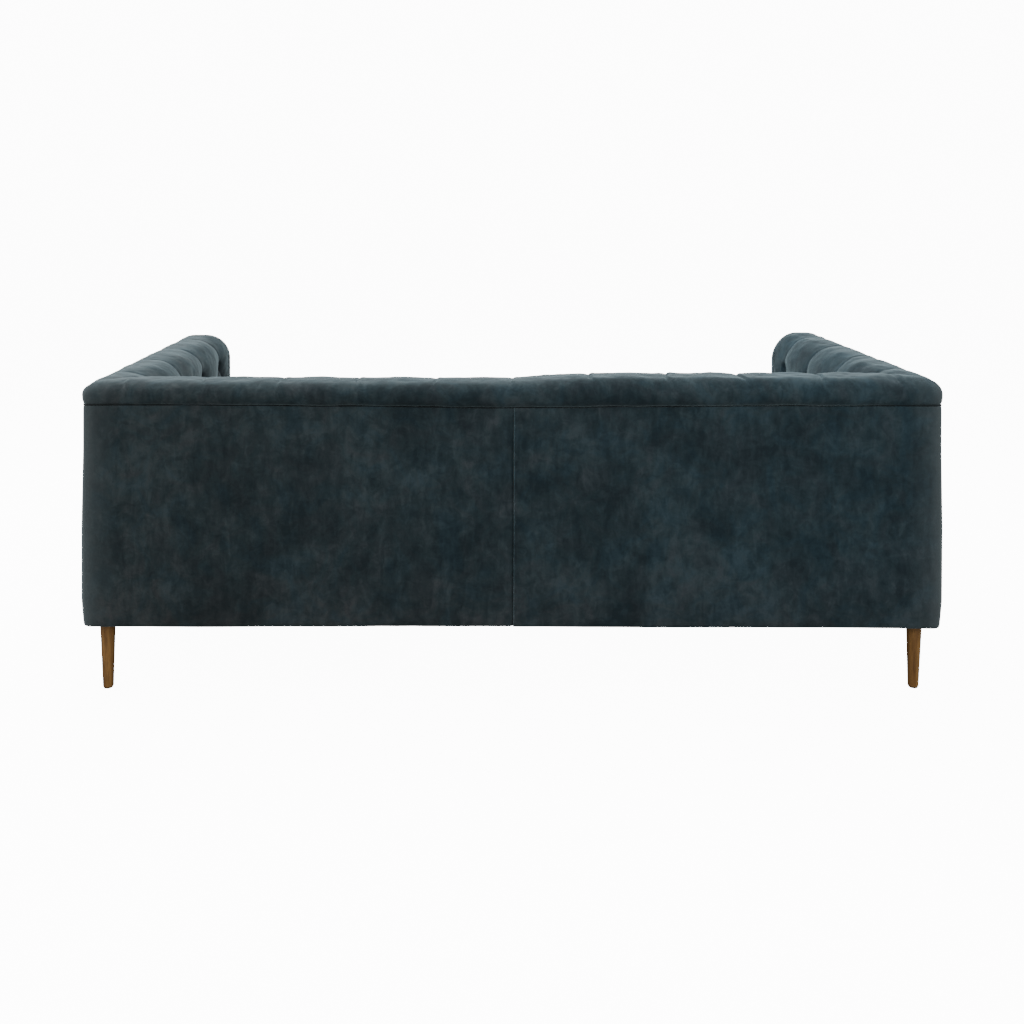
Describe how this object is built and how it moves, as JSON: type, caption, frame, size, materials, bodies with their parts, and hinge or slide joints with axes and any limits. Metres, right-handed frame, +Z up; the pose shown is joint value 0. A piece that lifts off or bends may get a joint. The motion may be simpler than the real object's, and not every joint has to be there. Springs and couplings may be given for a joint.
{
  "type": "sofa with wooden legs",
  "caption": "Sofa with a button-tufted inside, arms level with the back, a plain panelled outside, loose seat cushions and tapered wooden legs.",
  "frame": {"origin": "on the floor under the middle of the sofa", "axes": "+X along the width towards the sitter's left arm, +Y from the seat's front to the back, +Z up"},
  "size_m": [2.1, 0.88, 0.77],
  "materials": {
    "velvet": "matte",
    "velvet_buttons": "matte",
    "deck_lining": "matte",
    "leg_wood": "satin",
    "frame_timber": "matte",
    "fibreboard": "matte",
    "foam": "matte",
    "webbing": "matte",
    "lining": "matte",
    "zinc_steel": "satin",
    "glide_plastic": "matte",
    "zip_nylon": "matte"
  },
  "bodies": {
    "sofa_frame": {"arm_board_left": "fibreboard", "arm_board_right": "fibreboard", "arm_buttons_left": "velvet_buttons", "arm_buttons_right": "velvet_buttons", "arm_front_facing_left": "velvet", "arm_front_facing_right": "velvet", "arm_posts_left": "frame_timber", "arm_posts_right": "frame_timber", "arm_top_rail_left": "frame_timber", "arm_top_rail_right": "frame_timber", "arm_webbing_left": "webbing", "arm_webbing_right": "webbing", "back_board": "fibreboard", "back_buttons": "velvet_buttons", "back_lower_rails": "frame_timber", "back_posts": "frame_timber", "back_top_rail": "frame_timber", "back_webbing": "webbing", "base_cross_rails": "frame_timber", "base_front_rail": "frame_timber", "base_rear_rail": "frame_timber", "base_side_rail_left": "frame_timber", "base_side_rail_right": "frame_timber", "corner_blocks": "frame_timber", "deck_cover": "deck_lining", "deck_pad": "foam", "dust_cover": "lining", "front_border_cover": "velvet", "front_border_pad": "foam", "inside_arm_cover_left": "velvet", "inside_arm_cover_right": "velvet", "inside_arm_foam_left": "foam", "inside_arm_foam_right": "foam", "inside_back_cover": "velvet", "inside_back_foam": "foam", "leg_bolts": "zinc_steel", "leg_front_left": "leg_wood", "leg_front_right": "leg_wood", "leg_glides": "glide_plastic", "leg_plates": "zinc_steel", "leg_rear_left": "leg_wood", "leg_rear_right": "leg_wood", "outside_arm_panel_left": "velvet", "outside_arm_panel_right": "velvet", "outside_back_panel_left": "velvet", "outside_back_panel_right": "velvet", "plate_screws": "zinc_steel", "seat_webbing": "webbing", "top_welt": "velvet"},
    "seat_cushion_left": {"cushion_bottom_panel_left": "deck_lining", "cushion_boxing_left": "velvet", "cushion_foam_left": "foam", "cushion_top_panel_left": "velvet", "cushion_zip_left": "zip_nylon"},
    "seat_cushion_right": {"cushion_bottom_panel_right": "deck_lining", "cushion_boxing_right": "velvet", "cushion_foam_right": "foam", "cushion_top_panel_right": "velvet", "cushion_zip_right": "zip_nylon"}
  },
  "joints": [
    {"name": "left_cushion_lift", "type": "slide", "parent": "sofa_frame", "child": "seat_cushion_left", "axis": [0, 0, 1], "range_m": [0, 0.5]},
    {"name": "right_cushion_lift", "type": "slide", "parent": "sofa_frame", "child": "seat_cushion_right", "axis": [0, 0, 1], "range_m": [0, 0.5]}
  ]
}
